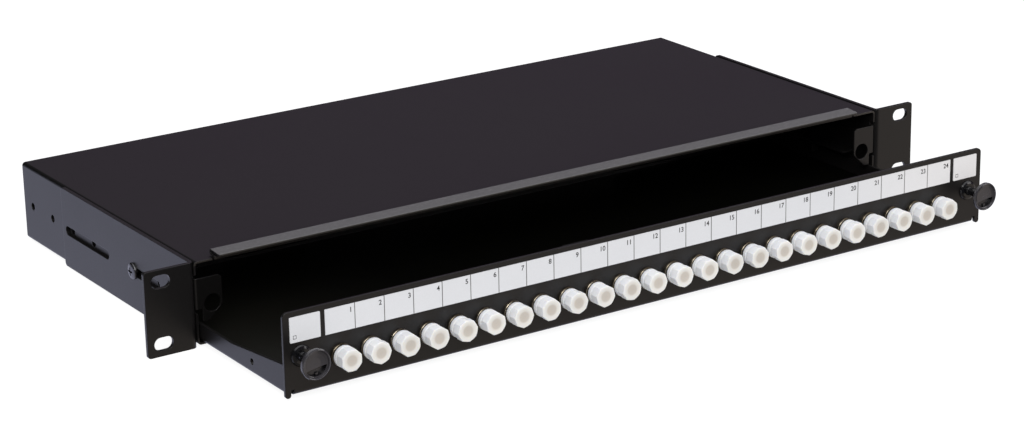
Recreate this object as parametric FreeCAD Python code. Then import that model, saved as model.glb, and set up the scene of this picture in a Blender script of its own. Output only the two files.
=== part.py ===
import FreeCAD, Part
import math
import os
from FreeCAD import Vector

# Sliding fibre termination panel, 1U, 19 inch rack, 24 bayonet (ST) ports.
# Frame: +X right seen from the front, +Y to the rear, +Z up. Millimetres.
# Origin: centre of the four rack slots, on the front plane of the rack ears.
# The drawer and all it carries are modelled pulled out by drawer_out.

# ---------------------------------------------------------------- driving dimensions
rack_hole_span = 465.1          # rack slot centres, side to side
rack_hole_rise = 31.75          # rack slot centres, top to bottom
ear_width = 482.6               # over both ears
ear_z0, ear_z1 = -22.2, 21.85
bracket_thick = 2.0

case_w = 428.5
case_half = case_w / 2
case_y0, case_y1 = 0.5, 199.8
case_z0, case_z1 = -21.2, 21.6
case_wall = 1.0
side_hole_y0, side_hole_pitch, side_hole_count = 39.0, 25.0, 7
side_hole_z = -0.6
side_hole_r = 2.1
rear_panel_thick = 1.2
rear_face = case_y1 + rear_panel_thick      # outside of the rear panel

drawer_out = 85.0               # distance from closed to the modelled position
panel_y = -1.45 - drawer_out    # front face of the drawer panel
panel_thick = 1.5
panel_back = panel_y + panel_thick
tray_thick = 1.5
floor_z0 = -19.65               # underside of the tray floor
floor_z1 = floor_z0 + tray_thick

port_count, port_pitch, port_z = 24, 16.0, -5.1
port_xs = [(i - (port_count - 1) / 2) * port_pitch for i in range(port_count)]
latch_x, latch_z = 205.1, -0.8

fitting_z = 0.6                 # centre line of the rear panel fittings
gland_x, blank_x, earth_x = 125.0, 70.0, 178.0

spool_x, spool_y = 140.0, 43.0 - drawer_out
cassette_y = 46.0 - drawer_out
cassette_stud_x = 87.0

SIDES = (-1, 1)                 # left, right
os.makedirs("parts", exist_ok=True)


# ---------------------------------------------------------------- helpers
def box(x0, x1, y0, y1, z0, z1):
    return Part.makeBox(x1 - x0, y1 - y0, z1 - z0, Vector(x0, y0, z0))


def span(side, near, far, centre=0.0):
    """Rising pair of coordinates, near and far from the centre on the given side."""
    return sorted((centre + side * near, centre + side * far))


def plus_minus(value):
    return (-value, value)


def cyl_x(y, z, r, x0, x1):
    return Part.makeCylinder(r, x1 - x0, Vector(x0, y, z), Vector(1, 0, 0))


def cyl_y(x, z, r, y0, y1):
    return Part.makeCylinder(r, y1 - y0, Vector(x, y0, z), Vector(0, 1, 0))


def cyl_z(x, y, r, z0, z1):
    return Part.makeCylinder(r, z1 - z0, Vector(x, y, z0), Vector(0, 0, 1))


def prism(points, direction):
    corners = [Vector(*p) for p in points]
    return Part.Face(Part.makePolygon(corners + [corners[0]])).extrude(Vector(*direction))


def ngon_y(x, z, across, y0, y1, sides=6, turn=0.0):
    """Regular prism along Y, sized across its flats; turn in degrees."""
    corner_r = across / 2 / math.cos(math.pi / sides)
    points = []
    for i in range(sides):
        a = math.radians(turn) + (2 * i + 1) * math.pi / sides + math.pi / 2
        points.append((x + corner_r * math.cos(a), y0, z + corner_r * math.sin(a)))
    return prism(points, (0, y1 - y0, 0))


def revolved(points, centre, axis):
    return Part.Face(Part.makePolygon(points + [points[0]])).revolve(centre, axis, 360)


def turned_x(y, z, profile, base=0.0):
    """Turned about X; profile points are (radius, x from base)."""
    points = [Vector(base + x, y, z + r) for r, x in profile]
    return revolved(points, Vector(0, y, z), Vector(1, 0, 0))


def turned_y(x, z, profile, base=0.0):
    """Turned about Y; profile points are (radius, y from base)."""
    points = [Vector(x + r, base + y, z) for r, y in profile]
    return revolved(points, Vector(x, 0, z), Vector(0, 1, 0))


def turned_z(x, y, profile, base=0.0):
    """Turned about Z; profile points are (radius, z from base)."""
    points = [Vector(x + r, y, base + z) for r, z in profile]
    return revolved(points, Vector(x, y, 0), Vector(0, 0, 1))


def turned_out(x, z, profile, face=panel_y):
    """Turned about Y; profile points are (radius, distance forward of face)."""
    return turned_y(x, z, [(r, face - out) for r, out in profile])


def slot_through_y(x, z, length, height, y0, y1):
    r = height / 2
    half = length / 2 - r
    ends = [cyl_y(x + dx, z, r, y0, y1) for dx in (-half, half)]
    return box(x - half, x + half, y0, y1, z - r, z + r).fuse(ends)


def slot_through_x(y0, y1, z, height, x0, x1):
    r = height / 2
    ends = [cyl_x(y, z, r, x0, x1) for y in (y0 + r, y1 - r)]
    return box(x0, x1, y0 + r, y1 - r, z - r, z + r).fuse(ends)


def edges_at(shape, axis, **at):
    """Straight edges along axis that lie at the given coordinates."""
    found = []
    for e in shape.Edges:
        if len(e.Vertexes) != 2 or e.Curve.TypeId != "Part::GeomLine":
            continue
        start, end = e.Vertexes[0].Point, e.Vertexes[1].Point
        step = end - start
        if abs(getattr(step, axis)) < 0.01:
            continue
        if any(abs(getattr(step, k)) > 1e-4 for k in "xyz" if k != axis):
            continue
        if all(abs(getattr(start, k) - value) < 1e-3 for k, value in at.items()):
            found.append(e)
    return found


def round_corners(shape, radius, axis, **at):
    """Fillet the edges along axis at every pairing of two lists of coordinates."""
    (key_a, values_a), (key_b, values_b) = at.items()
    edges = []
    for a in values_a:
        for b in values_b:
            edges += edges_at(shape, axis, **{key_a: a, key_b: b})
    return shape.makeFillet(radius, edges)


def one(shape):
    """Merge split faces and unwrap a lone solid."""
    shape = shape.removeSplitter()
    if shape.ShapeType != "Solid" and len(shape.Solids) == 1:
        shape = shape.Solids[0]
    return shape


def mirror_x(shape):
    return shape.mirror(Vector(0, 0, 0), Vector(1, 0, 0))


def save(name, *shapes):
    solids = [solid for s in shapes for solid in one(s).Solids]
    shape = solids[0] if len(solids) == 1 else Part.makeCompound(solids)
    shape.exportStep("parts/" + name + ".step")


def pan_head(radius, height, steps):
    """Half section of a pan head seated at 0: (radius, height) points, crown first."""
    points = [(0, height)]
    for i in range(1, steps + 1):
        a = math.radians(12 + 78 * i / steps)
        points.append((radius * math.sin(a), height * 0.35 + height * 0.65 * math.cos(a)))
    return points + [(radius, 0)]


# ---------------------------------------------------------------- rack brackets
arm_x0 = case_half + 0.05       # inner face of the arm
arm_x1 = arm_x0 + bracket_thick
arm_y1 = 147.0
arm_z0 = -21.3                  # the arm is cut back a little at the bottom
rack_slot_w, rack_slot_h = 10.3, 6.8
arm_slots = ((91.8, 143.3), (34.5, 67.0))       # y ranges
arm_slot_h = 5.0


def mounting_bracket():
    arm = box(arm_x0, arm_x1, 0, arm_y1, arm_z0, ear_z1)
    arm = arm.makeFillet(2.0, edges_at(arm, "x", y=arm_y1))
    ear = box(arm_x0, ear_width / 2, 0, bracket_thick, ear_z0, ear_z1)
    ear = ear.makeFillet(1.6, edges_at(ear, "y", x=ear_width / 2))
    s = one(arm.fuse(ear))
    # outside, then inside of the fold
    s = s.makeFillet(3.0, edges_at(s, "z", x=arm_x0, y=0))
    s = s.makeFillet(1.0, edges_at(s, "z", x=arm_x1, y=bracket_thick))
    for z in plus_minus(rack_hole_rise / 2):
        s = s.cut(slot_through_y(rack_hole_span / 2, z, rack_slot_w, rack_slot_h,
                                 -1, bracket_thick + 1))
    for y0, y1 in arm_slots:
        s = s.cut(slot_through_x(y0, y1, side_hole_z, arm_slot_h, arm_x0 - 1, arm_x1 + 1))
    return one(s)


def bracket_screw():
    """Cross-slotted pan head screw in the second side hole, head outward at +X."""
    y, z = side_hole_y0 + side_hole_pitch, side_hole_z
    seat = arm_x1 + 0.05
    head_r, head_h, shank_r, length = 4.3, 2.0, 2.0, 4.3
    profile = pan_head(head_r, head_h, steps=7) + [
        (shank_r, 0), (shank_r, 0.5 - length), (shank_r - 0.5, -length), (0, -length)]
    s = turned_x(y, z, profile, base=seat)
    for dy, dz in ((2.2, 0.5), (0.5, 2.2)):
        s = s.cut(box(seat + head_h - 1.3, seat + head_h + 1, y - dy, y + dy, z - dz, z + dz))
    return s


bracket = mounting_bracket()
save("mounting_bracket_right", bracket)
save("mounting_bracket_left", mirror_x(bracket))
screw = bracket_screw()
save("bracket_screws", screw, mirror_x(screw))

# ---------------------------------------------------------------- case shell
case_bend_r = 2.0               # outside bend radius, top and bottom edges
frame_opening = (-203.5, 203.5, case_y1 - 5, case_y1 + 5, -14.0, 15.2)
through_side = (case_half - 3, case_half + 1)   # x range of cuts through a side wall

tab_z0, tab_z1 = -3.0, 12.8     # height range where a latch tab joins its side wall
tab_fold_r = 1.4
tab_hole_r = 4.5
# latch tab outline: (x, z)
tab_outline = [
    (199.7, 11.4), (201.1, tab_z1), (213.4, tab_z1), (213.4, tab_z0),
    (210.6, tab_z0), (210.6, -9.5), (207.2, -9.5), (199.7, -2.2),
]
hood_left, hood_right = 202.8, 197.6    # the hood's two ends, measured from the middle
# hood section: (y, z)
hood_section = [
    (0.5, 21.0), (0.42, 21.7), (0.5, 22.3), (0.9, 22.7), (4.2, 22.9), (4.6, 23.25),
    (4.6, 23.7), (4.2, 24.0), (-4.2, 23.3), (-4.35, 23.45), (-4.4, 23.9), (-4.25, 24.35),
    (-3.9, 24.5), (4.2, 25.05), (5.1, 24.85), (5.6, 24.2), (5.65, 23.0), (5.3, 22.35),
    (4.7, 22.0), (1.6, 21.75), (1.5, 21.0),
]
# screws through the rear panel into the frame: (x, z); those at x = 0 are smaller
rear_screws = [(side * 207.5, z) for side in SIDES for z in (10.5, -9.3)]
rear_screws += [(0.0, 17.6), (0.0, -16.4)]


def case_body():
    """Folded sleeve with a frame turned inward all round at the rear."""
    outer = box(-case_half, case_half, case_y0, case_y1, case_z0, case_z1)
    outer = round_corners(outer, case_bend_r, "y",
                          x=plus_minus(case_half), z=(case_z0, case_z1))
    inner_half = case_half - case_wall
    inner_z0, inner_z1 = case_z0 + case_wall, case_z1 - case_wall
    inner = box(-inner_half, inner_half, case_y0 - 5, case_y1 + 5, inner_z0, inner_z1)
    inner = round_corners(inner, case_bend_r - case_wall, "y",
                          x=plus_minus(inner_half), z=(inner_z0, inner_z1))
    frame = outer.common(box(-case_half, case_half, case_y1 - case_wall, case_y1,
                             case_z0, case_z1)).cut(box(*frame_opening))
    return outer.cut(inner).fuse(frame)


def add_latch_tab(shell, side):
    """Tab folded inward from the front edge of a side wall."""
    tab = prism([(side * x, case_y0, z) for x, z in tab_outline], (0, case_wall, 0))
    tab = tab.cut(cyl_y(side * latch_x, latch_z, tab_hole_r,
                        case_y0 - 1, case_y0 + case_wall + 1))
    # relief notches above and below the fold
    for z0, z1 in ((tab_z1, tab_z1 + 2), (tab_z0 - 2, tab_z0)):
        shell = shell.cut(box(*span(side, *through_side), case_y0 - 1, case_y0 + 3.0, z0, z1))
    shell = shell.fuse(tab)
    # rounded outside of the fold
    fold_x, fold_y = case_half - tab_fold_r, case_y0 + tab_fold_r
    corner = box(fold_x, case_half + 1, case_y0 - 1, fold_y, tab_z0, tab_z1)
    corner = corner.cut(cyl_z(fold_x, fold_y, tab_fold_r, tab_z0 - 1, tab_z1 + 1))
    return shell.cut(corner if side > 0 else mirror_x(corner))


def add_hood(shell):
    """Hemmed hood on the top front edge, with clipped front corners."""
    hood = prism([(-hood_left, y, z) for y, z in hood_section], (hood_left + hood_right, 0, 0))
    for side, end in ((-1, hood_left), (1, hood_right)):
        clip = [(side * (end + 0.1), -4.6, 20), (side * (end - 0.7), -4.6, 20),
                (side * (end + 0.1), -3.6, 20)]
        hood = hood.cut(prism(clip, (0, 0, 6)))
        shell = shell.cut(box(*span(side, end, end + 1.2), case_y0 - 1, 4.0,
                              case_z1 - 3, case_z1 + 1))
    return shell.fuse(hood)


def case_shell():
    shell = case_body()
    for side in SIDES:
        shell = add_latch_tab(shell, side)
    shell = add_hood(shell)
    for side in SIDES:
        for i in range(side_hole_count):
            shell = shell.cut(cyl_x(side_hole_y0 + side_hole_pitch * i, side_hole_z,
                                    side_hole_r, *span(side, *through_side)))
    for x, z in rear_screws:
        shell = shell.cut(cyl_y(x, z, 1.3 if x == 0 else 1.5, case_y1 - 3, case_y1 + 1))
    return shell


save("case_shell", case_shell())

# ---------------------------------------------------------------- rear panel and its screws
rear_panel_half = 211.5
rear_panel_z0, rear_panel_z1 = -18.6, 19.8
vent_pitch, vent_r, vent_rise = 6.0, 0.9, 8.0   # rise: from middle to end centres


def rear_panel():
    half = rear_panel_half
    s = box(-half, half, case_y1, rear_face, rear_panel_z0, rear_panel_z1)
    s = round_corners(s, 2.5, "y", x=(-half, half), z=(rear_panel_z0, rear_panel_z1))
    through = (case_y1 - 1, case_y1 + 3)
    for x in (-gland_x, gland_x, -blank_x, blank_x):
        s = s.cut(cyl_y(x, fitting_z, 10.2, *through))
    s = s.cut(cyl_y(earth_x, fitting_z, 3.1, *through))
    for x, z in rear_screws:
        s = s.cut(cyl_y(x, z, 1.6, *through))
    # a row of narrow upright ventilation slots in the middle
    z0, z1 = fitting_z - vent_rise, fitting_z + vent_rise
    for i in range(-6, 7):
        x = i * vent_pitch
        ends = [cyl_y(x, z, vent_r, *through) for z in (z0, z1)]
        s = s.cut(box(x - vent_r, x + vent_r, *through, z0, z1).fuse(ends))
    return s


def rear_panel_screw(x, z):
    """Cross-slotted pan head screw, head at the rear."""
    head_r, shank_r = (2.1, 1.25) if x == 0 else (2.7, 1.45)
    head_h, length = 1.7, 5.0
    profile = pan_head(head_r, head_h, steps=6) + [(shank_r, 0), (shank_r, -length), (0, -length)]
    s = turned_y(x, z, profile, base=rear_face)
    top = rear_face + head_h
    for dx, dz in ((head_r * 0.52, 0.3), (0.3, head_r * 0.52)):
        s = s.cut(box(x - dx, x + dx, top - 0.9, top + 1, z - dz, z + dz))
    return s


save("rear_panel", rear_panel())
save("rear_panel_screws", *[rear_panel_screw(x, z) for x, z in rear_screws])

# ---------------------------------------------------------------- guide rails and glide strips
rail_y0, rail_y1 = 14.0, 190.0
rail_z0, rail_z1 = -5.0, 7.0
rail_thick = 1.0
stop_y = 43.5                   # rear face of the drawer stop
stop_thick = 1.2
glide_y = (6.0, 188.0)
glide_half, glide_thick = 7.0, 0.5


def guide_rail():
    """Right-hand angle rail with a drawer stop hanging below it."""
    outer_x = case_half - case_wall - 0.05
    upright = box(outer_x - rail_thick, outer_x, rail_y0, rail_y1, rail_z0, rail_z1)
    flat = box(203.0, outer_x, rail_y0, rail_y1, rail_z0, rail_z0 + rail_thick)
    stop = box(204.0, 209.4, stop_y - stop_thick, stop_y, -11.0, -4.5)
    s = one(upright.fuse([flat, stop]))
    s = s.makeFillet(0.9, edges_at(s, "y", x=outer_x, z=rail_z0))
    for i in range(1, side_hole_count):
        s = s.cut(cyl_x(side_hole_y0 + side_hole_pitch * i, side_hole_z, side_hole_r,
                        case_half - 5, case_half))
    return one(s)


def glide_strip(x):
    """Flat strip on the case floor."""
    xs = (x - glide_half, x + glide_half)
    z0 = case_z0 + case_wall
    return round_corners(box(*xs, *glide_y, z0, z0 + glide_thick), 3.0, "z", x=xs, y=glide_y)


rail = guide_rail()
save("guide_rails", rail, mirror_x(rail))
save("glide_strips", *[glide_strip(x) for x in (-192.0, -78.0, 78.0, 192.0)])

# ---------------------------------------------------------------- rear panel fittings
gland_hex = 24.0                # across flats
# profiles: (radius, y from the outside of the rear panel)
gland_body_profile = [
    (6.8, -10.4), (9.6, -10.4), (9.95, -10.0), (9.95, 0), (11.9, 0), (11.9, 5.0),
    (9.0, 5.0), (9.0, 12.0), (8.2, 12.0), (8.2, 5.2), (6.8, 5.2),
]
gland_seal_profile = [(5.0, 5.4), (8.1, 5.4), (8.1, 11.6), (7.0, 12.4), (5.0, 12.4)]
dome_nut_profile = [
    (9.1, 5.2), (11.6, 5.2), (11.6, 11.5), (10.9, 14.0), (9.4, 16.0), (8.0, 16.8),
    (6.6, 16.8), (6.6, 14.4), (8.6, 12.9), (9.1, 12.6),
]
grommet_profile = [
    (0, 0.9), (5.0, 0.7), (9.0, 1.5), (12.0, 1.5), (12.6, 0.9), (12.6, 0.02), (10.15, 0.02),
    (10.15, -rear_panel_thick - 0.02), (11.6, -rear_panel_thick - 0.02),
    (11.2, -rear_panel_thick - 1.5), (8.6, -rear_panel_thick - 1.5), (8.0, -0.3), (0, -0.3),
]
stud_y0, stud_y1 = 190.0, 217.9
stud_collar_y = rear_face + 5.75
earth_nut_across, earth_nut_bore_r = 10.0, 2.54
washer_thick = 1.1


def turned_rear(x, profile):
    return turned_y(x, fitting_z, profile, base=rear_face)


def hex_ring(x, y0, y1):
    """Hexagon with a round bore, as used on the glands."""
    return ngon_y(x, fitting_z, gland_hex, y0, y1).cut(
        cyl_y(x, fitting_z, 10.0, y0 - 1, y1 + 1))


def gland_body(x):
    return turned_rear(x, gland_body_profile).fuse(hex_ring(x, rear_face + 0.8, rear_face + 4.6))


def gland_dome_nut(x):
    return turned_rear(x, dome_nut_profile).fuse(hex_ring(x, rear_face + 5.2, rear_face + 11.2))


def earth_stud():
    return turned_y(earth_x, fitting_z, [
        (0, stud_y0), (2.1, stud_y0), (2.5, stud_y0 + 0.5), (2.5, stud_collar_y),
        (3.0, stud_collar_y), (3.0, stud_y1 - 0.7), (2.5, stud_y1), (0, stud_y1)])


def earth_nut(y0, y1):
    """Hexagon nut with chamfered corners."""
    face_r, corner_r = earth_nut_across / 2 * 1.02, earth_nut_across / 2 * 1.16
    envelope = turned_y(earth_x, fitting_z, [
        (0, y0), (face_r, y0), (corner_r, y0 + 0.6), (corner_r, y1 - 0.6), (face_r, y1), (0, y1)])
    s = ngon_y(earth_x, fitting_z, earth_nut_across, y0, y1).common(envelope)
    return s.cut(cyl_y(earth_x, fitting_z, earth_nut_bore_r, y0 - 1, y1 + 1))


def earth_washer(y):
    profile = [(3.2, 0), (6.0, 0), (6.0, washer_thick), (3.2, washer_thick)]
    return turned_y(earth_x, fitting_z, profile, base=y)


gland_xs = plus_minus(gland_x)
save("gland_bodies", *[gland_body(x) for x in gland_xs])
save("gland_locknuts", *[hex_ring(x, case_y1 - 4.6, case_y1 - 0.02) for x in gland_xs])
save("gland_seals", *[turned_rear(x, gland_seal_profile) for x in gland_xs])
save("gland_dome_nuts", *[gland_dome_nut(x) for x in gland_xs])
save("entry_grommets", *[turned_rear(x, grommet_profile) for x in plus_minus(blank_x)])
save("earth_stud", earth_stud())
save("earth_nuts", earth_nut(case_y1 - 5.6, case_y1 - 1.12),
     earth_nut(rear_face + 1.12, rear_face + 5.6))
save("earth_washers", earth_washer(case_y1 - 1.11), earth_washer(rear_face + 0.01))

# ---------------------------------------------------------------- drawer tray with front panel
panel_half = 428.2 / 2
panel_z1 = 21.35
tray_half = 424.8 / 2
floor_y0 = panel_y + 2.7        # where the straight part of the tray floor starts
tray_y1 = 180.0 - drawer_out
fold_half = 209.4               # fold between floor and panel
wall_top_front = -5.2           # top of the side walls at the panel
wall_top = -10.4                # top of the side walls further back
# side wall outline: (y, z)
wall_outline = [
    (floor_y0, floor_z0), (floor_y0, wall_top_front), (3.2 - drawer_out, wall_top_front),
    (53.2 - drawer_out, wall_top), (tray_y1, wall_top), (tray_y1, floor_z0),
]
panel_ear_x, panel_ear_z0 = 211.1, -20.6


def tray_floor_and_walls():
    s = box(-tray_half, tray_half, floor_y0, tray_y1, floor_z0, floor_z1)
    for side in SIDES:
        wall = [(side * tray_half, y, z) for y, z in wall_outline]
        s = s.fuse(prism(wall, (-side * tray_thick, 0, 0)))
    s = round_corners(one(s), 1.9, "y", x=plus_minus(tray_half), z=(floor_z0,))
    # wall ends running forward to the panel
    for side in SIDES:
        s = s.fuse(box(*span(side, tray_half - tray_thick, tray_half),
                       panel_back + 0.4, floor_y0 + 0.2, floor_z0 + 2.8, wall_top_front))
    return s


def folded_panel():
    upright = box(-fold_half, fold_half, panel_y, panel_back, floor_z0, floor_z0 + 5)
    flat = box(-fold_half, fold_half, panel_y, floor_y0 + 0.2, floor_z0, floor_z1)
    fold = one(upright.fuse(flat))
    fold = fold.makeFillet(2.0, edges_at(fold, "x", y=panel_y, z=floor_z0))
    panel = box(-panel_half, panel_half, panel_y, panel_back, floor_z0 + 3.0, panel_z1)
    panel = round_corners(panel, 2.5, "y", x=plus_minus(panel_half), z=(panel_z1,))
    return one(fold.fuse(panel))


def tray_rear_wall():
    """Low wall with two notches and two taller stop ears."""
    y0 = tray_y1 - tray_thick
    s = box(0.2 - tray_half, tray_half - 0.2, y0, tray_y1, floor_z1 - 0.2, wall_top)
    for x in gland_xs:
        s = s.cut(box(x - 24, x + 24, tray_y1 - 3, tray_y1 + 1, floor_z1 + 1.5, 0))
    for side in SIDES:
        s = s.fuse(box(*span(side, 203.6, 209.4), y0, tray_y1, -12, -5.35))
    return s


def panel_ear(side):
    """Corner ear of the panel, hanging below the fold."""
    ear = box(*span(side, panel_ear_x, panel_half), panel_y, panel_back,
              panel_ear_z0, floor_z0 + 4)
    return round_corners(ear, 1.4, "y", x=(side * panel_ear_x, side * panel_half),
                         z=(panel_ear_z0,))


def drawer_tray():
    s = tray_floor_and_walls()
    s = one(folded_panel().fuse(s))
    s = s.fuse(tray_rear_wall())
    for side in SIDES:
        s = s.fuse(panel_ear(side))
    through_panel = (panel_y - 1, panel_back + 1)
    for x in port_xs:
        s = s.cut(cyl_y(x, port_z, 4.85, *through_panel))
    for side in SIDES:
        s = s.cut(cyl_y(side * latch_x, latch_z, 4.1, *through_panel))
        s = s.cut(cyl_x(33.5 - drawer_out, -13.3, 1.6, *span(side, tray_half - 4, tray_half + 1)))
    through_floor = (floor_z0 - 1, floor_z1 + 1)
    for side in SIDES:
        s = s.cut(cyl_z(side * spool_x, spool_y, 1.75, *through_floor))
        s = s.cut(cyl_z(side * cassette_stud_x, cassette_y, 1.9, *through_floor))
    return s


save("drawer_tray", drawer_tray())

# ---------------------------------------------------------------- label strip and end labels
label_z = (6.3, 18.8)
label_y0 = panel_y - 0.4        # front of the labels
strip_half = port_count * port_pitch / 2
end_label_x = (194.5, 210.7)


def label_strip():
    """Strip with a shallow groove between neighbouring ports."""
    s = box(-strip_half, strip_half, label_y0, panel_y, *label_z)
    for i in range(1, port_count):
        x = -strip_half + i * port_pitch
        s = s.cut(box(x - 0.18, x + 0.18, label_y0 - 1, label_y0 + 0.12,
                      label_z[0] - 1, label_z[1] + 1))
    return s


def end_label(side):
    s = box(*span(side, *end_label_x), label_y0, panel_y, *label_z)
    return round_corners(s, 0.5, "y", x=[side * x for x in end_label_x], z=label_z)


save("label_strip", label_strip())
save("end_labels", *[end_label(side) for side in SIDES])

# ---------------------------------------------------------------- ports
# profiles: (radius, distance forward of the panel's front face)
adapter_profile = [
    (3.3, 8.0), (4.0, 8.0), (4.0, 1.3), (4.78, 1.3), (4.78, -6.0), (4.0, -6.0),
    (4.0, -13.5), (3.3, -13.5), (3.3, -4.0), (2.4, -4.0), (2.4, -8.0), (1.65, -8.0),
    (1.65, 3.0), (2.4, 3.0), (2.4, -1.0), (3.3, -1.0),
]
flange_profile = [(4.6, 1.3), (5.3, 1.3), (5.55, 1.05), (5.55, 0), (4.6, 0)]
washer_profile = [(4.9, -1.52), (6.9, -1.52), (6.9, -2.1), (4.9, -2.1)]
sleeve_profile = [(1.25, 2.7), (1.62, 2.7), (1.62, -7.7), (1.25, -7.7)]
rear_cap_profile = [
    (0, -14.9), (5.0, -14.9), (5.4, -14.4), (5.4, -7.4), (5.0, -7.0), (4.85, -7.0),
    (4.85, -13.8), (0, -13.8),
]
cap_skirt_profile = [
    (0, 5.6), (5.12, 5.6), (5.15, 4.3), (5.36, 4.05), (5.42, 2.6), (5.25, 1.9), (0, 1.9),
]
cap_grip_envelope = [(0, 10.1), (5.05, 10.1), (5.85, 9.6), (5.85, 6.1), (5.0, 5.0), (0, 5.0)]
cap_dish_profile = [(0, 9.82), (1.6, 9.85), (2.9, 9.94), (4.1, 10.11), (4.1, 11), (0, 11)]
# each front cap, left to right: turn in degrees, extra distance forward
cap_poses = [
    (0, 0.35), (22, 0.0), (4, 0.0), (11, 0.1), (30, 0.0), (8, 0.0),
    (19, 0.1), (2, 0.0), (26, 0.0), (14, 0.15), (35, 0.0), (21, 0.0),
    (24, 0.3), (6, 0.0), (17, 0.05), (38, 0.3), (3, 0.0), (28, 0.0),
    (12, 0.1), (41, 0.3), (7, 0.35), (23, 0.3), (20, 0.1), (5, 0.0),
]


def adapter_body(x):
    body = turned_out(x, port_z, adapter_profile)
    flange = turned_out(x, port_z, flange_profile)
    # flats under and over the flange
    for z0, z1 in ((-8, -5.25), (5.25, 8)):
        flange = flange.cut(box(x - 8, x + 8, panel_y - 2, panel_y - 0.5,
                                port_z + z0, port_z + z1))
    # bayonet lugs, front and rear
    lugs = [cyl_x(panel_y - out, port_z, 0.8, *span(side, 3.8, 4.7, x))
            for out in (5.6, -11.2) for side in SIDES]
    return one(body.fuse([flange] + lugs))


def adapter_nut(x):
    return ngon_y(x, port_z, 12.4, panel_y + 2.12, panel_y + 4.9).cut(
        cyl_y(x, port_z, 4.83, panel_y, panel_y + 6))


def port_cap(x, turn, seat):
    """Front dust cap: round skirt, eight-sided grip, hollow from behind, dished face."""
    face = panel_y - seat
    skirt = turned_out(x, port_z, cap_skirt_profile, face)
    grip = ngon_y(x, port_z, 10.45, face - 10.1, face - 5.0, sides=8, turn=turn)
    grip = grip.common(turned_out(x, port_z, cap_grip_envelope, face))
    cap = skirt.fuse(grip)
    cap = cap.cut(cyl_y(x, port_z, 4.74, face - 8.9, face - 1.8))
    return cap.cut(turned_out(x, port_z, cap_dish_profile, face))


for i, (x, (turn, seat)) in enumerate(zip(port_xs, cap_poses)):
    save("port_cap_%02d" % (i + 1), port_cap(x, turn, seat))
save("adapter_bodies", *[adapter_body(x) for x in port_xs])
save("adapter_washers", *[turned_out(x, port_z, washer_profile) for x in port_xs])
save("adapter_nuts", *[adapter_nut(x) for x in port_xs])
save("adapter_sleeves", *[turned_out(x, port_z, sleeve_profile) for x in port_xs])
save("rear_dust_caps", *[turned_out(x, port_z, rear_cap_profile) for x in port_xs])

# ---------------------------------------------------------------- push-pull latches
# profiles: (radius, distance forward of the panel's front face)
latch_grommet_profile = [
    (2.56, 1.6), (3.9, 1.6), (4.9, 1.2), (5.35, 0.5), (5.35, 0.01), (4.05, 0.01),
    (4.05, -1.55), (4.3, -1.8), (4.3, -2.6), (3.9, -4.2), (3.7, -8.6), (3.3, -9.2),
    (2.56, -9.2),
]
plunger_profile = [
    (0, 13.0), (3.0, 13.05), (5.2, 13.35), (6.4, 13.9), (6.7, 14.5), (7.1, 14.7),
    (7.45, 14.5), (7.6, 13.9), (7.55, 12.9), (6.6, 12.0), (5.2, 11.3), (3.9, 10.4),
    (3.0, 9.5), (2.5, 8.8), (2.2, 7.4), (2.2, 3.0), (2.5, 2.2), (2.5, -4.6),
    (1.6, -6.0), (0, -6.0),
]


def latch_grommet(x):
    """Flanged bush, split crosswise behind the panel."""
    s = turned_out(x, latch_z, latch_grommet_profile)
    for angle in (0, 90):
        split = box(-6, 6, panel_y + 2.4, panel_y + 10, -0.6, 0.6)
        split.rotate(Vector(0, 0, 0), Vector(0, 1, 0), angle)
        s = s.cut(split.translated(Vector(x, 0, latch_z)))
    return one(s)


def latch_plunger(x):
    """Plunger with a pocket in the lower half of its face and a small rib left in it."""
    pocket_y = (panel_y - 15, panel_y - 11.9)
    pocket = cyl_y(x, latch_z, 6.0, *pocket_y).common(
        box(x - 7, x + 7, *pocket_y, latch_z - 7, latch_z - 2.2))
    pocket = pocket.cut(box(x - 0.7, x + 0.7, panel_y - 12.7, panel_y - 11,
                            latch_z - 7, latch_z - 4.6))
    pocket.rotate(Vector(x, 0, latch_z), Vector(0, 1, 0), -9)
    return turned_out(x, latch_z, plunger_profile).cut(pocket)


save("latch_grommets", *[latch_grommet(side * latch_x) for side in SIDES])
save("latch_plunger_left", latch_plunger(-latch_x))
save("latch_plunger_right", latch_plunger(latch_x))

# ---------------------------------------------------------------- splice cassette
cassette_half, cassette_wall, cassette_r = 82.0, 1.5, 9.0
cassette_y0, cassette_y1 = cassette_y - 25, cassette_y + 25
rim_z = floor_z1 + 7.8          # rim of the base
hinge_y, hinge_z = cassette_y0 - 1.5, rim_z + 1.0
hinge_lug_x = (61.2, 64.4)
hinge_arm_x = (57.6, 60.9)
splice_y0, splice_y1 = cassette_y - 15, cassette_y + 15
lid_half = 81.6
lid_z0, lid_z1 = rim_z + 0.15, rim_z + 1.55
comb_slot_count = 10


def rounded_block(half, y0, y1, z0, z1, radius):
    """Block centred on x = 0 with rounded upright corners."""
    return round_corners(box(-half, half, y0, y1, z0, z1), radius, "z",
                         x=(-half, half), y=(y0, y1))


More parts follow.
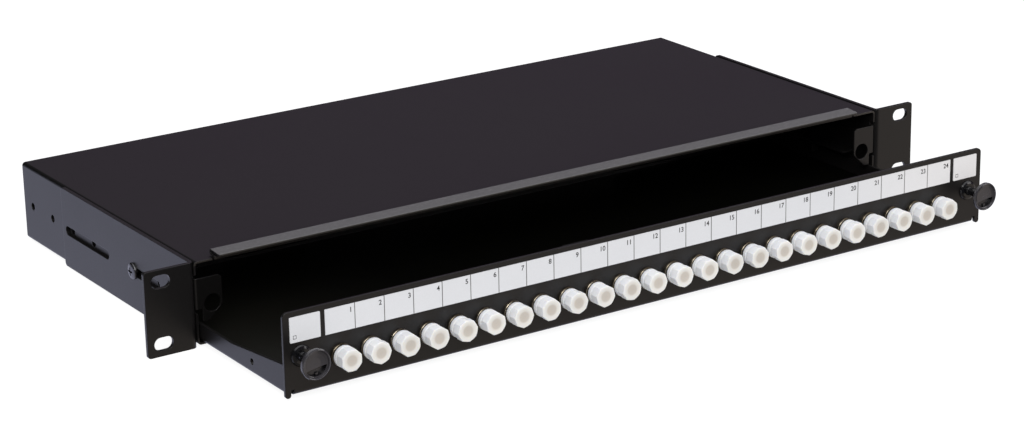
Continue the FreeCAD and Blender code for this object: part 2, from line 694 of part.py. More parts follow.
def cassette_base():
    z0, wall = floor_z1, cassette_wall
    s = rounded_block(cassette_half, cassette_y0, cassette_y1, z0, rim_z, cassette_r)
    s = s.cut(rounded_block(cassette_half - wall, cassette_y0 + wall, cassette_y1 - wall,
                            z0 + wall, rim_z + 1, cassette_r - wall))
    for side in SIDES:
        # fibre entries in the end wall
        for y in (splice_y0, splice_y1):
            s = s.cut(box(*span(side, 78, 84), y - 4, y + 4, z0 + 2.2, rim_z + 1))
        # fixing ear
        ear = box(*span(side, 81, 92.5), cassette_y - 6, cassette_y + 6, z0, z0 + 1.8)
        ear = round_corners(ear, 4.0, "z", y=(cassette_y - 6, cassette_y + 6), x=(side * 92.5,))
        s = s.fuse(ear).cut(cyl_z(side * cassette_stud_x, cassette_y, 2.2, z0 - 1, z0 + 3))
    # bend-radius walls: half rings open to the middle
    for side in SIDES:
        ring_x = side * 52
        ring = cyl_z(ring_x, cassette_y, 20.0, z0 + 1, rim_z - 1.0)
        ring = ring.cut(cyl_z(ring_x, cassette_y, 18.8, z0, rim_z))
        s = s.fuse(ring.cut(box(*span(side, 20, 52), cassette_y - 21, cassette_y + 21,
                                z0, rim_z)))
    # hinge lugs, with clearance for the lid arms beside them
    for side in SIDES:
        lug_x = span(side, *hinge_lug_x)
        lug = box(*lug_x, hinge_y - 1.9, cassette_y0 + 1.4, z0, hinge_z)
        lug = lug.fuse(cyl_x(hinge_y, hinge_z, 1.9, *lug_x))
        s = s.fuse(lug).cut(cyl_x(hinge_y, hinge_z, 1.06, *span(side, 60, 66)))
        s = s.cut(box(*span(side, 57.0, 61.1), cassette_y0 - 2, cassette_y0 + 1.6,
                      rim_z - 1.6, rim_z + 1))
    return s


def cassette_lid():
    s = rounded_block(lid_half, cassette_y0 + 0.6, cassette_y1 - 0.4, lid_z0, lid_z1, 8.6)
    # shallow recess in the top
    s = s.cut(box(-60.5, 60.5, splice_y0, splice_y1, rim_z + 1.2, rim_z + 3))
    for side in SIDES:
        arm_x = span(side, *hinge_arm_x)
        arm = cyl_x(hinge_y, hinge_z, 1.8, *arm_x)
        arm = arm.fuse(box(*arm_x, hinge_y, cassette_y0 + 1.2, lid_z0, lid_z1))
        arm = arm.fuse(cyl_x(hinge_y, hinge_z, 1.0, *span(side, 60.8, 64.2)))
        s = s.fuse(arm)
        # clear the base's lug but keep the hinge pin
        clearance = box(*span(side, 61.0, 64.8), cassette_y0 - 6, cassette_y0 + 2.8,
                        rim_z - 1, rim_z + 4)
        s = s.cut(clearance.cut(cyl_x(hinge_y, hinge_z, 1.01, -100, 100)))
    # finger tab at the free edge
    return s.fuse(box(-8, 8, cassette_y1 - 0.6, cassette_y1 + 1.8, lid_z0, rim_z + 1.35))


def splice_holder(x):
    """Comb of slots running along X."""
    comb = box(x - 14, x + 14, splice_y0, splice_y1, floor_z1 + 1.52, floor_z1 + 6.0)
    for i in range(comb_slot_count):
        y = splice_y0 + (splice_y1 - splice_y0) * (i + 0.5) / comb_slot_count
        comb = comb.cut(box(x - 15, x + 15, y - 0.85, y + 0.85, floor_z1 + 3.0, floor_z1 + 7))
    return comb


# profiles: (radius, z from the top of the tray floor)
cassette_stud_profile = [
    (0, -tray_thick), (1.88, -tray_thick), (1.88, 9.4), (1.4, 10.0), (0, 10.0),
]
cassette_nut_profile = [
    (1.95, 1.85), (4.6, 1.85), (4.6, 3.4), (3.2, 3.9), (3.2, 7.6), (2.8, 8.0), (1.95, 8.0),
]

save("splice_cassette_base", cassette_base())
save("splice_cassette_lid", cassette_lid())
save("splice_holders", *[splice_holder(x) for x in (-17.0, 17.0)])
for name, profile in (("studs", cassette_stud_profile), ("nuts", cassette_nut_profile)):
    save("cassette_" + name, *[turned_z(x, cassette_y, profile, floor_z1)
                               for x in plus_minus(cassette_stud_x)])

# ---------------------------------------------------------------- fibre spools, tie mounts
spool_z0, spool_z1 = floor_z1, floor_z1 + 8.6
spool_end_half = 21.0           # half the distance between the round ends' centres
# tabs on the spool rim: x and y from the spool centre, width, depth
spool_tabs = ((-42.2, -4.0, 3.6, 8.0), (38.6, -4.0, 3.6, 8.0),
              (-5.0, -23.0, 10.0, 3.4), (-5.0, 19.6, 10.0, 3.4))
tie_front_y, tie_rear_y = 75.5 - drawer_out, 80.5 - drawer_out
tie_places = [(-98.0, tie_front_y), (98.0, tie_front_y), (-158.0, tie_front_y),
              (158.0, tie_front_y), (-30.0, tie_rear_y), (30.0, tie_rear_y)]


def oval(x, y, r, z0, z1):
    """Racetrack block, long along X, with round ends of radius r."""
    x0, x1 = x - spool_end_half, x + spool_end_half
    ends = [cyl_z(end, y, r, z0, z1) for end in (x0, x1)]
    return one(box(x0, x1, y - r, y + r, z0, z1).fuse(ends))


def fibre_spool(x, y):
    """Flanged racetrack wall with a centre boss, rim tabs and a cross of ribs."""
    z0 = spool_z0
    s = oval(x, y, 22.5, z0, z0 + 1.4)
    s = s.fuse(oval(x, y, 20.0, z0 + 1.2, spool_z1).cut(oval(x, y, 18.8, z0 + 1.0, z0 + 9.0)))
    s = s.fuse(cyl_z(x, y, 5.0, z0 + 1.0, z0 + 6.0))
    for dx, dy, width, depth in spool_tabs:
        s = s.fuse(box(x + dx, x + dx + width, y + dy, y + dy + depth, z0 + 7.4, spool_z1))
    rib_z = (z0 + 1.2, z0 + 3.6)
    for way in (-1, 1):
        s = s.fuse(box(*span(way, 4.6, 40, x), y - 0.7, y + 0.7, *rib_z))
        s = s.fuse(box(x - 0.7, x + 0.7, *span(way, 4.6, 19.4, y), *rib_z))
    return one(s.cut(cyl_z(x, y, 2.0, z0 - 1, z0 + 7)))


def spool_screw(x, y):
    seat = spool_z0 + 6.02
    tip = floor_z0 + 0.2 - seat
    s = turned_z(x, y, [(0, 2.0), (1.6, 1.95), (2.8, 1.5), (3.4, 0.7), (3.4, 0),
                        (1.7, 0), (1.7, tip), (0, tip)], base=seat)
    for dx, dy in ((1.8, 0.35), (0.35, 1.8)):
        s = s.cut(box(x - dx, x + dx, y - dy, y + dy, seat + 1.0, seat + 3))
    return s


def tie_mount(x, y):
    """Square base with a raised block, tunnelled both ways."""
    xs, ys = (x - 7, x + 7), (y - 7, y + 7)
    s = round_corners(box(*xs, *ys, floor_z1, floor_z1 + 1.2), 1.6, "z", x=xs, y=ys)
    s = s.fuse(box(x - 4.5, x + 4.5, y - 4.5, y + 4.5, floor_z1 + 1.1, floor_z1 + 3.6))
    for dx, dy in ((2.4, 6), (6, 1.6)):
        s = s.cut(box(x - dx, x + dx, y - dy, y + dy, floor_z1 + 1.2, floor_z1 + 2.6))
    return one(s)


save("fibre_spools", *[fibre_spool(side * spool_x, spool_y) for side in SIDES])
save("spool_screws", *[spool_screw(side * spool_x, spool_y) for side in SIDES])
save("tie_mounts", *[tie_mount(x, y) for x, y in tie_places])
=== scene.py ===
"""Looks and studio for a rack-mount fibre patch panel with a sliding drawer.

Metres, +Z up. The width runs along X with its middle at x = 0, and the port face looks
towards -Y, so left is -X and the rear is +Y. This script adds their materials, the printing
on the labels, a floor, lights and a camera.
"""
import bpy, bmesh, math
from mathutils import Matrix, Vector


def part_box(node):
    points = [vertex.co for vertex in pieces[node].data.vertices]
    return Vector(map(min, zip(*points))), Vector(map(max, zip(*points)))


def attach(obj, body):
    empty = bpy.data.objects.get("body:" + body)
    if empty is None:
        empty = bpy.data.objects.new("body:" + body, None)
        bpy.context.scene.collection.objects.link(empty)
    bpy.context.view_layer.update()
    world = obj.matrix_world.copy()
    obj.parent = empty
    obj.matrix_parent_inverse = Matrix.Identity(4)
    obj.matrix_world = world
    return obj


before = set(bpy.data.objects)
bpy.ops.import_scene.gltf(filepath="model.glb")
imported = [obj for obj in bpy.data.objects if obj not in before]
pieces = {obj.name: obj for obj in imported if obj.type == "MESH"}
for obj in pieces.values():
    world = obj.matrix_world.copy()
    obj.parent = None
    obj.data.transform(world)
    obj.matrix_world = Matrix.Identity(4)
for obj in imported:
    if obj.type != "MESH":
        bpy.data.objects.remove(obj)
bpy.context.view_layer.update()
scene = bpy.context.scene

PORT_PITCH = 0.016

scene.view_settings.view_transform = "Standard"
scene.view_settings.look = "None"
scene.view_settings.exposure = 0.0
scene.view_settings.gamma = 1.0


# ------------------------------------------------------------------ node helpers
def scaled(color, factor):
    return tuple(channel * factor for channel in color)


class Graph:
    """A material or world node tree, with short calls for the nodes used here."""

    def __init__(self, name, world=False):
        self.owner = (bpy.data.worlds if world else bpy.data.materials).new(name)
        self.owner.use_nodes = True
        self.tree = self.owner.node_tree
        self.tree.nodes.clear()
        self.out = self.node("ShaderNodeOutputWorld" if world else "ShaderNodeOutputMaterial")

    def node(self, kind, **settings):
        node = self.tree.nodes.new(kind)
        for key, value in settings.items():
            setattr(node, key, value)
        return node

    def link(self, source, socket):
        self.tree.links.new(source, socket)

    def feed(self, socket, value):
        """Set a socket from a number or an RGB tuple, or link another socket to it."""
        if isinstance(value, (int, float)):
            socket.default_value = value
        elif isinstance(value, tuple):
            socket.default_value = value + (1.0,)
        else:
            self.link(value, socket)

    def coords(self):
        return self.node("ShaderNodeTexCoord").outputs["Object"]

    def separate(self, vector):
        node = self.node("ShaderNodeSeparateXYZ")
        self.link(vector, node.inputs[0])
        return node.outputs

    def grey(self, value):
        node = self.node("ShaderNodeCombineColor")
        for i in range(3):
            self.link(value, node.inputs[i])
        return node.outputs[0]

    def noise(self, vector, scale, detail=2.0, roughness=0.5, distortion=0.0):
        node = self.node("ShaderNodeTexNoise")
        node.inputs["Scale"].default_value = scale
        node.inputs["Detail"].default_value = detail
        node.inputs["Roughness"].default_value = roughness
        node.inputs["Distortion"].default_value = distortion
        self.link(vector, node.inputs["Vector"])
        return node.outputs["Fac"]

    def ramp(self, factor, stops):
        """stops: (position, RGB) pairs."""
        node = self.node("ShaderNodeValToRGB")
        elements = node.color_ramp.elements
        while len(elements) > 1:
            elements.remove(elements[-1])
        elements[0].position = stops[0][0]
        elements[0].color = stops[0][1] + (1.0,)
        for position, color in stops[1:]:
            elements.new(position).color = color + (1.0,)
        self.link(factor, node.inputs["Fac"])
        return node.outputs["Color"]

    def remap(self, value, source, target=(0.0, 1.0)):
        """Carry the range source onto the range target, clamped."""
        node = self.node("ShaderNodeMapRange")
        names = ("From Min", "From Max", "To Min", "To Max")
        for name, limit in zip(names, source + target):
            node.inputs[name].default_value = limit
        self.link(value, node.inputs["Value"])
        return node.outputs["Result"]

    def math(self, operation, *values):
        node = self.node("ShaderNodeMath", operation=operation)
        for i, value in enumerate(values):
            self.feed(node.inputs[i], value)
        return node.outputs[0]

    def mix(self, factor, first, second, blend="MIX"):
        node = self.node("ShaderNodeMix", data_type="RGBA", blend_type=blend)
        self.feed(node.inputs["Factor"], factor)
        self.feed(node.inputs[6], first)
        self.feed(node.inputs[7], second)
        return node.outputs[2]

    def bump(self, height, strength, distance, normal=None):
        node = self.node("ShaderNodeBump")
        node.inputs["Strength"].default_value = strength
        node.inputs["Distance"].default_value = distance
        self.link(height, node.inputs["Height"])
        if normal is not None:
            self.link(normal, node.inputs["Normal"])
        return node.outputs["Normal"]

    def bevel(self, radius, samples):
        node = self.node("ShaderNodeBevel")
        node.samples = samples
        node.inputs["Radius"].default_value = radius
        return node.outputs["Normal"]

    def occlusion(self, distance):
        node = self.node("ShaderNodeAmbientOcclusion")
        node.samples = 6
        node.inputs["Distance"].default_value = distance
        return node.outputs["AO"]

    def sharp_edge_mask(self, radius=0.0006):
        """0 on flats, towards 1 on sharp edges."""
        rounded = self.bevel(radius=radius, samples=4)
        geometry = self.node("ShaderNodeNewGeometry")
        dot = self.node("ShaderNodeVectorMath", operation="DOT_PRODUCT")
        self.link(rounded, dot.inputs[0])
        self.link(geometry.outputs["True Normal"], dot.inputs[1])
        return self.remap(dot.outputs["Value"], source=(0.92, 0.72))

    def principled(self, **values):
        """Keywords are socket names, with underscores for spaces."""
        node = self.node("ShaderNodeBsdfPrincipled")
        for name, value in values.items():
            self.feed(node.inputs[name.replace("_", " ")], value)
        self.link(node.outputs["BSDF"], self.out.inputs["Surface"])
        return node


# ------------------------------------------------------------------ materials
def powder_coat(name, base=(0.0075, 0.0068, 0.0068), rough=0.38, bump=0.10, spec=0.5,
                sheen_gain_right=None, shade_right=False):
    """Black coat. The colour gain scales the colour at the right, a painted sheen; the last flag
    darkens colour and gloss towards the right, a painted shade.
    """
    g = Graph(name)
    place = g.coords()
    fine = g.noise(place, scale=2600.0, roughness=0.55)
    medium = g.noise(place, scale=900.0)
    broad = g.noise(place, scale=9.0, detail=3.0, roughness=0.55)
    mottle = g.noise(place, scale=700.0, detail=3.0, roughness=0.6)
    color = g.ramp(mottle, [(0.30, scaled(base, 0.8)), (0.62, base), (0.80, scaled(base, 1.5))])
    # painted highlight: sharp edges mixed a little towards a lighter grey
    sharp_edges = g.sharp_edge_mask()
    edge_highlight_grey = (0.045, 0.044, 0.046)
    color = g.mix(g.math("MULTIPLY", sharp_edges, 0.06), color, edge_highlight_grey)
    soft_normal = g.bevel(radius=0.00055, samples=6)
    # painted sheen: the colour scaled up towards the right
    if sheen_gain_right is not None:
        x = g.separate(place)[0]
        gain = g.remap(x, source=(-0.2, 0.2), target=(1.0, sheen_gain_right))
        color = g.mix(1.0, color, g.grey(gain), "MULTIPLY")
    # painted shade: colour and gloss fall off towards the right, lighter at the left
    if shade_right:
        x = g.separate(place)[0]
        # the inner mix has a factor of zero: it gives the plain left-hand colour
        lit_left_color = g.mix(0.0, (0.0085, 0.0082, 0.0066), (0, 0, 0))
        shaded_right_color = (0.002, 0.002, 0.0014)
        color = g.mix(g.remap(x, source=(-0.19, -0.09)), lit_left_color, shaded_right_color)
        spec = g.remap(x, source=(-0.20, -0.12), target=(0.30, 0.09))
    roughness = g.math(
        "ADD",
        g.remap(broad, source=(0.3, 0.7), target=(rough - 0.025, rough + 0.025)),
        g.remap(fine, source=(0.35, 0.65), target=(-0.03, 0.03)))
    roughness = g.math("SUBTRACT", roughness, g.math("MULTIPLY", sharp_edges, 0.06))
    height = g.math("ADD", g.math("MULTIPLY", fine, 0.5), medium)
    normal = g.bump(height, strength=bump, distance=0.00012, normal=soft_normal)
    g.principled(Base_Color=color, Roughness=roughness, Normal=normal, IOR=1.5,
                 Specular_IOR_Level=spec)
    return g.owner


def moulded(name, base, rough, spec=0.5, bump=0.05, coat=0.0, shade_reach=0.0):
    """Moulded plastic or rubber. The last argument sets the reach of a painted shade that
    darkens enclosed places.
    """
    g = Graph(name)
    place = g.coords()
    fine = g.noise(place, scale=1500.0, detail=3.0, roughness=0.6)
    flow = g.noise(place, scale=60.0, distortion=0.4)
    color = g.mix(g.remap(flow, source=(0.35, 0.65)), scaled(base, 0.88), scaled(base, 1.1))
    # painted shade: places that ambient occlusion finds enclosed go near black
    if shade_reach:
        painted_hollow_shade = g.remap(g.occlusion(shade_reach), source=(0.55, 0.97), target=(0.9, 0.0))
        color = g.mix(painted_hollow_shade, color, scaled(base, 0.08))
    roughness = g.math(
        "ADD",
        g.remap(flow, source=(0.3, 0.7), target=(rough - 0.04, rough + 0.04)),
        g.remap(fine, source=(0.3, 0.7), target=(-0.03, 0.03)))
    normal = g.bump(fine, strength=bump, distance=0.0001)
    g.principled(Base_Color=color, Roughness=roughness, Normal=normal, IOR=1.5,
                 Specular_IOR_Level=spec, Coat_Weight=coat, Coat_Roughness=0.08)
    return g.owner


def cap_white(name, port_z):
    """Soft off-white with painted light: a cool lit white on the sides, a painted warm shade in
    concave corners, and a warmer front face with a painted shade darkening its middle.
    """
    g = Graph(name)
    place = g.coords()
    geometry = g.node("ShaderNodeNewGeometry")
    info = g.node("ShaderNodeObjectInfo")
    fine = g.noise(place, scale=1800.0, detail=3.0, roughness=0.6)

    # distance from the axis of the nearest port
    x, y, z = g.separate(place)
    cell = g.math("FRACT", g.math("MULTIPLY", x, 1.0 / PORT_PITCH))
    across = g.math("MULTIPLY", g.math("SUBTRACT", cell, 0.5), PORT_PITCH)
    above = g.math("SUBTRACT", z, port_z)
    radius = g.math("SQRT", g.math("ADD", g.math("MULTIPLY", across, across),
                                   g.math("MULTIPLY", above, above)))

    # painted light: front faces take the front-face ramp, which darkens towards the port axis;
    # other faces take the cool lit white with a painted warm shade in concave corners
    normal_y = g.separate(geometry.outputs["Normal"])[1]
    facing_front = g.remap(normal_y, source=(-0.55, -0.92))
    face = g.ramp(g.remap(radius, source=(0.0, 0.0055)), [
        (0.0, (0.57, 0.52, 0.46)), (0.42, (0.60, 0.55, 0.49)),
        (0.58, (0.76, 0.73, 0.68)), (0.88, (0.84, 0.83, 0.80))])
    painted_hollow_shade = g.remap(g.occlusion(0.0022), source=(0.25, 0.85), target=(0.75, 0.0))
    cool, warm = (0.845, 0.85, 0.865), (0.66, 0.55, 0.41)
    color = g.mix(facing_front, g.mix(painted_hollow_shade, cool, warm), face)
    tint = g.remap(info.outputs["Random"], source=(0.0, 1.0), target=(0.95, 1.02))
    color = g.mix(1.0, color, g.grey(tint), "MULTIPLY")
    # painted glow: a faint emission in the cap's own colour
    shader = g.principled(
        Base_Color=color, Roughness=g.remap(fine, source=(0.3, 0.7), target=(0.40, 0.52)),
        Normal=g.bump(fine, strength=0.08, distance=0.00012), IOR=1.46,
        Subsurface_Weight=0.12, Subsurface_Scale=1.0,
        Emission_Color=color, Emission_Strength=0.025)
    shader.inputs["Subsurface Radius"].default_value = (0.0016, 0.0012, 0.0008)
    return g.owner


def metal(name, base, rough, tint):
    """Metal that drifts between the colours base and tint."""
    g = Graph(name)
    place = g.coords()
    mapping = g.node("ShaderNodeMapping")
    g.link(place, mapping.inputs["Vector"])
    grain = g.noise(mapping.outputs["Vector"], scale=700.0, detail=4.0, roughness=0.6)
    patches = g.noise(place, scale=40.0, detail=3.0)
    color = g.mix(g.remap(patches, source=(0.35, 0.7)), base, tint)
    roughness = g.math(
        "ADD",
        g.remap(grain, source=(0.3, 0.7), target=(rough - 0.06, rough + 0.08)),
        g.remap(patches, source=(0.3, 0.7), target=(-0.03, 0.04)))
    normal = g.bump(grain, strength=0.06, distance=0.00008)
    g.principled(Base_Color=color, Roughness=roughness, Metallic=1.0, Normal=normal)
    return g.owner


def paper(name, base=(0.745, 0.75, 0.77)):
    """Pale card with a dark dividing line at every port pitch."""
    g = Graph(name)
    place = g.coords()
    fibre = g.noise(place, scale=2400.0, detail=4.0, roughness=0.65)
    blotch = g.noise(place, scale=120.0, detail=3.0)
    color = g.mix(g.remap(fibre, source=(0.3, 0.7)), scaled(base, 0.965), scaled(base, 1.02))
    stain = g.remap(blotch, source=(0.4, 0.8), target=(0.0, 0.25))
    color = g.mix(stain, color, scaled(base, 0.94))

    # dividing lines, kept off the two ends
    x = g.separate(place)[0]
    cell = g.math("FRACT", g.math("ADD", g.math("MULTIPLY", x, 1.0 / PORT_PITCH), 0.5))
    off_middle = g.math("ABSOLUTE", g.math("SUBTRACT", cell, 0.5))
    distance = g.math("MULTIPLY", off_middle, PORT_PITCH)
    line = g.remap(distance, source=(0.00017, 0.00026), target=(1.0, 0.0))
    inside = g.remap(g.math("ABSOLUTE", x), source=(0.1905, 0.1906), target=(1.0, 0.0))
    line_color = (0.10, 0.095, 0.09)
    color = g.mix(g.math("MULTIPLY", line, inside), color, line_color)

    # darker along sharp edges
    sharp_edges = g.sharp_edge_mask(radius=0.0003)
    color = g.mix(g.math("MULTIPLY", sharp_edges, 0.5), color, scaled(base, 0.6))
    # painted light: brighter and warmer towards the right
    right_painted_light = (1.10, 1.065, 1.03)
    color = g.mix(g.remap(x, source=(0.11, 0.21)), color, right_painted_light, "MULTIPLY")
    g.principled(Base_Color=color, IOR=1.45,
                 Roughness=g.remap(fibre, source=(0.3, 0.7), target=(0.42, 0.55)),
                 Normal=g.bump(fibre, strength=0.05, distance=0.00006))
    return g.owner


cap_low, cap_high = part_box("port_cap_01")
materials = {
    "coat": powder_coat("powder_coat_black"),
    # the hem's top: a much lighter coat as a painted sheen, brighter still at the right
    "lip_sheen": powder_coat("powder_coat_hem", base=(0.108, 0.106, 0.107), rough=0.34, bump=0.08,
                       sheen_gain_right=1.12),
    # tray floor with a painted shade darkening it towards the right
    "tray_floor": powder_coat("powder_coat_tray_floor", rough=0.42, shade_right=True),
    "zinc": metal("zinc_plate", base=(0.62, 0.63, 0.66), rough=0.28, tint=(0.50, 0.50, 0.53)),
    "nickel": metal("nickel_on_brass", base=(0.30, 0.262, 0.205), rough=0.30,
                    tint=(0.17, 0.14, 0.10)),
    "screw": metal("dark_zinc_screw", base=(0.20, 0.20, 0.205), rough=0.30,
                   tint=(0.13, 0.13, 0.135)),
    "sleeve": moulded("zirconia_sleeve", base=(0.82, 0.80, 0.76), rough=0.25, bump=0.02),
    "cap": cap_white("cap_white_plastic", port_z=(cap_low.z + cap_high.z) / 2),
    "latch": moulded("latch_gloss_nylon", base=(0.036, 0.034, 0.039), rough=0.24, bump=0.03,
                     coat=0.3, shade_reach=0.004),
    "grommet": moulded("grommet_gloss_nylon", base=(0.006, 0.006, 0.007), rough=0.16,
                       bump=0.02, coat=0.15),
    "nylon": moulded("black_nylon", base=(0.010, 0.010, 0.010), rough=0.5, bump=0.08),
    "rubber": moulded("black_rubber", base=(0.012, 0.012, 0.012), rough=0.72, bump=0.12,
                      spec=0.35),
    "paper": paper("label_card"),
    "tape": moulded("slide_tape", base=(0.55, 0.55, 0.52), rough=0.35),
    # painted shade: a near-black, less glossy coat for shaded faces of the case
    "painted_shade": powder_coat("powder_coat_shaded", base=(0.0035, 0.0032, 0.003), rough=0.42,
                       spec=0.22),
    # painted highlight: a lighter brown coat for the upper front edge
    "front_edge_highlight": powder_coat("powder_coat_cut_edge", base=(0.030, 0.026, 0.022), rough=0.36),
}


def give(piece, material):
    piece.data.materials.clear()
    piece.data.materials.append(material)


caps = [name for name in pieces if name.startswith("port_cap_")]
latches = ["latch_plunger_left", "latch_plunger_right"]
groups = {
    "coat": ["guide_rails", "case_shell", "rear_panel", "mounting_bracket_left",
             "mounting_bracket_right", "drawer_tray"],
    "screw": ["bracket_screws"],
    "zinc": ["rear_panel_screws", "earth_stud", "earth_nuts", "earth_washers",
             "cassette_studs", "spool_screws"],
    "nickel": ["adapter_bodies", "adapter_nuts", "adapter_washers"],
    "sleeve": ["adapter_sleeves"],
    "cap": caps,
    "latch": latches,
    "grommet": ["latch_grommets"],
    "nylon": ["rear_dust_caps", "splice_cassette_base", "splice_cassette_lid", "fibre_spools",
              "tie_mounts", "gland_bodies", "gland_dome_nuts", "gland_locknuts",
              "cassette_nuts"],
    "rubber": ["gland_seals", "entry_grommets", "splice_holders"],
    "paper": ["label_strip", "end_labels"],
    "tape": ["glide_strips"],
}
for key, names in groups.items():
    for name in names:
        give(pieces[name], materials[key])


# ------------------------------------------------------------------ faces with their own slot
def paint_case():
    mesh = pieces["case_shell"].data
    for key in ("lip_sheen", "painted_shade", "front_edge_highlight"):
        mesh.materials.append(materials[key])
    lip_sheen_slot, painted_shade_slot, front_edge_highlight_slot = 1, 2, 3
    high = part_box("case_shell")[1]
    lip_z = high.z - 0.0011
    front_left_x = -0.1985      # the front strip lies left of this
    side_x = high.x - 0.0026    # the side edges lie outside this
    for poly in mesh.polygons:
        centre, normal = poly.center, poly.normal
        faces_front = normal.y < -0.9
        # top of the hem, in the lighter coat: painted sheen
        if centre.z > lip_z and normal.z > 0.55:
            poly.material_index = lip_sheen_slot
        # strip at the left end of the front, in the near-black coat: painted shade
        elif (centre.x < front_left_x and faces_front
                and -0.0105 < centre.z < 0.0135 and centre.y < 0.003):
            poly.material_index = painted_shade_slot
        # sloping faces along the upper side edges, in the near-black coat: painted shade
        elif (abs(centre.x) > side_x and normal.z > 0.12
                and abs(normal.x) > 0.15 and centre.z > 0.0185):
            poly.material_index = painted_shade_slot
        # upper front edge, in the lighter brown coat: painted highlight
        elif faces_front and centre.y < 0.0007 and centre.z > 0.0192:
            poly.material_index = front_edge_highlight_slot


def paint_tray():
    mesh = pieces["drawer_tray"].data
    mesh.materials.append(materials["tray_floor"])
    floor_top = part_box("drawer_tray")[0].z + 0.006
    for poly in mesh.polygons:
        if poly.normal.z > 0.9 and poly.center.z < floor_top:
            poly.material_index = 1


def paint_latch(name):
    """The part of a plunger behind its front takes the grommet's gloss."""
    mesh = pieces[name].data
    mesh.materials.append(materials["grommet"])
    front_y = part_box(name)[0].y
    for poly in mesh.polygons:
        if poly.center.y > front_y + 0.0032:
            poly.material_index = 1


paint_case()
paint_tray()
for name in latches:
    paint_latch(name)


# ------------------------------------------------------------------ printing on the labels
def add_mesh(name, bm):
    mesh = bpy.data.meshes.new(name)
    bm.to_mesh(mesh)
    bm.free()
    added = bpy.data.objects.new(name, mesh)
    scene.collection.objects.link(added)
    return added


def printed_ink():
    g = Graph("printed_ink")
    speckle = g.remap(g.noise(g.coords(), scale=3000.0), source=(0.3, 0.7))
    color = g.mix(speckle, (0.012, 0.012, 0.013), (0.03, 0.03, 0.031))
    g.principled(Base_Color=color, Roughness=0.6)
    return g.owner


ink = printed_ink()


def add_print(name, bm):
    """Inked mesh that moves with the drawer."""
    added = add_mesh(name, bm)
    give(added, ink)
    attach(added, "drawer")


def text_mesh(body):
    curve = bpy.data.curves.new("number", "FONT")
    curve.body = body
    curve.size = 0.0035
    curve.align_x = "RIGHT"
    curve.align_y = "TOP"
    curve.extrude = 0.000012
    curve.offset = 0.00005
    text = bpy.data.objects.new("number", curve)
    scene.collection.objects.link(text)
    depsgraph = bpy.context.evaluated_depsgraph_get()
    mesh = bpy.data.meshes.new_from_object(text.evaluated_get(depsgraph))
    bpy.data.objects.remove(text)
    return mesh


def port_numbers():
    """A number in the top right corner of each port's cell."""
    right_margin, top_margin, lift = 0.0013, 0.0012, 0.00001
    low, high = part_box("label_strip")
    cell_width = (high.x - low.x) / len(caps)
    turn_up = Matrix.Rotation(math.radians(90), 4, "X")
    bm = bmesh.new()
    for i in range(len(caps)):
        mesh = text_mesh(str(i + 1))
        corner = (low.x + (i + 1) * cell_width - right_margin, low.y - lift,
                  high.z - top_margin)
        mesh.transform(Matrix.Translation(corner) @ turn_up)
        bm.from_mesh(mesh)
        bpy.data.meshes.remove(mesh)
    add_print("port_numbers", bm)


def tick_boxes():
    """A square outline in the lower left corner of each end label."""
    left_margin, bottom_margin = 0.0016, 0.0017
    size, line, thick = 0.0018, 0.00022, 0.00002
    right_label_width = 0.0162
    low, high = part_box("end_labels")
    bottom = low.z + bottom_margin
    # x0, z0, x1, z1 of each bar: bottom, top, left, right
    bars = ((0, 0, size, line), (0, size - line, size, size),
            (0, line, line, size - line), (size - line, line, size, size - line))
    faces = ((3, 2, 1, 0), (4, 5, 6, 7), (0, 1, 5, 4), (1, 2, 6, 5), (2, 3, 7, 6), (3, 0, 4, 7))
    bm = bmesh.new()
    for left in (low.x + left_margin, high.x - right_label_width + left_margin):
        for x0, z0, x1, z1 in bars:
            verts = [bm.verts.new((left + x, low.y - depth, bottom + z))
                     for depth in (0.0, thick)
                     for x, z in ((x0, z0), (x1, z0), (x1, z1), (x0, z1))]
            for face in faces:
                bm.faces.new([verts[k] for k in face])
    bmesh.ops.recalc_face_normals(bm, faces=bm.faces)
    add_print("tick_boxes", bm)


port_numbers()
tick_boxes()


# ------------------------------------------------------------------ floor, world, lights, camera
def build_floor():
    """Pale floor, hidden from glossy and diffuse rays."""
    bm = bmesh.new()
    bmesh.ops.create_grid(bm, x_segments=1, y_segments=1, size=12.0)
    floor = add_mesh("floor", bm)
    floor.location = (0, 0, -0.02225)
    floor.visible_glossy = False
    floor.visible_diffuse = False

    g = Graph("floor_pale")
    patches = g.remap(g.noise(g.coords(), scale=5.0), source=(0.3, 0.7))
    diffuse = g.node("ShaderNodeBsdfDiffuse")
    g.link(g.mix(patches, (0.20, 0.20, 0.202), (0.21, 0.21, 0.212)), diffuse.inputs["Color"])
    glow = g.node("ShaderNodeEmission")
    g.feed(glow.inputs["Color"], (1, 1, 1))
    glow.inputs["Strength"].default_value = 0.90
    total = g.node("ShaderNodeAddShader")
    g.link(diffuse.outputs[0], total.inputs[0])
    g.link(glow.outputs[0], total.inputs[1])
    g.link(total.outputs[0], g.out.inputs["Surface"])
    give(floor, g.owner)


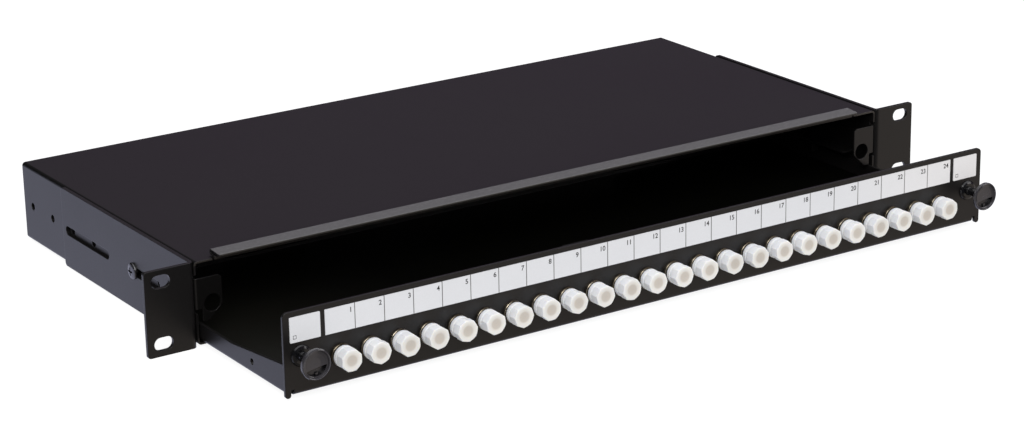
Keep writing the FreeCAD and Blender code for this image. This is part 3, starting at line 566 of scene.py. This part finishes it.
def build_world():
    """White to the camera, a soft dome for diffuse light, dark flags and table in gloss."""
    sky_low, sky_mid, sky_top = (0.100, 0.070, 0.110), (0.30, 0.29, 0.31), (1.3, 1.3, 1.35)
    flag_color = (0.004, 0.004, 0.004)
    table_front, table_back = (0.54, 0.475, 0.42), (0.76, 0.775, 0.985)
    dome_low, dome_high = (0.60, 0.60, 0.60), (0.82, 0.825, 0.85)

    g = Graph("studio", world=True)
    scene.world = g.owner
    x, y, z = g.separate(g.node("ShaderNodeTexCoord").outputs["Generated"])
    rays = g.node("ShaderNodeLightPath").outputs

    sky = g.ramp(g.remap(z, source=(0.0, 1.0)),
                 [(0.0, sky_low), (0.50, sky_low), (0.66, sky_mid), (0.90, sky_top)])
    # the front of the table is dimmer except at the right
    front = g.mix(g.remap(x, source=(0.28, 0.42)), scaled(table_front, 0.35), table_front)
    table = g.mix(g.remap(y, source=(-0.25, 0.25)), front, table_back)
    # dark flags at the right and overhead
    flags = g.math("MAXIMUM", g.remap(x, source=(0.10, 0.38)), g.remap(z, source=(0.62, 0.74)))
    # the flagged areas keep the sky; everything else goes dark
    sky = g.mix(flags, flag_color, sky)
    gloss = g.mix(g.remap(z, source=(-0.06, 0.05)), table, sky)
    dome = g.mix(g.remap(z, source=(-0.15, 0.35)), dome_low, dome_high)

    def background(color):
        node = g.node("ShaderNodeBackground")
        node.inputs[1].default_value = 1.0
        g.feed(node.inputs[0], color)
        return node.outputs[0]

    def choose(factor, first, second):
        node = g.node("ShaderNodeMixShader")
        for i, source in enumerate((factor, first, second)):
            g.link(source, node.inputs[i])
        return node.outputs[0]

    lighting = choose(rays["Is Glossy Ray"], background(dome), background(gloss))
    seen = choose(rays["Is Camera Ray"], lighting, background((1.0, 1.0, 1.0)))
    g.link(seen, g.out.inputs["Surface"])


def area(name, place, target, size, power, color, specular):
    light = bpy.data.lights.new(name, "AREA")
    light.shape = "RECTANGLE"
    light.size, light.size_y = size
    light.energy = power
    light.color = color
    light.specular_factor = specular
    lamp = bpy.data.objects.new(name, light)
    lamp.location = place
    lamp.rotation_mode = "QUATERNION"
    lamp.rotation_quaternion = (Vector(target) - Vector(place)).to_track_quat("-Z", "Y")
    scene.collection.objects.link(lamp)


def build_camera():
    """Camera in front, to the left and above, looking down at the panel."""
    azimuth, elevation, roll = (math.radians(a) for a in (-33.272, 18.59, -1.047))
    backward = Vector((math.sin(azimuth) * math.cos(elevation),
                       -math.cos(azimuth) * math.cos(elevation),
                       math.sin(elevation)))
    level = Vector((0, 0, 1)).cross(backward).normalized()
    upright = backward.cross(level)
    right = math.cos(roll) * level + math.sin(roll) * upright
    up = -math.sin(roll) * level + math.cos(roll) * upright
    lens = bpy.data.cameras.new("camera")
    lens.sensor_width = 36.0
    lens.lens = 97.8456797
    lens.clip_start, lens.clip_end = 0.05, 60.0
    camera = bpy.data.objects.new("camera", lens)
    turn = Matrix((right, up, backward)).transposed().to_4x4()
    camera.matrix_world = Matrix.Translation((-0.7783, -1.1392, 0.4681)) @ turn
    scene.collection.objects.link(camera)
    scene.camera = camera


build_floor()
build_world()
area("key", place=(-1.0, -1.5, 1.5), target=(0, -0.05, 0), size=(1.4, 1.0), power=22.0,
     color=(1.0, 0.995, 0.985), specular=0.25)
area("fill_right", place=(1.5, -1.5, 0.8), target=(0.05, -0.05, 0), size=(0.9, 0.9), power=6.0,
     color=(1.0, 0.98, 0.96), specular=0.03)
build_camera()
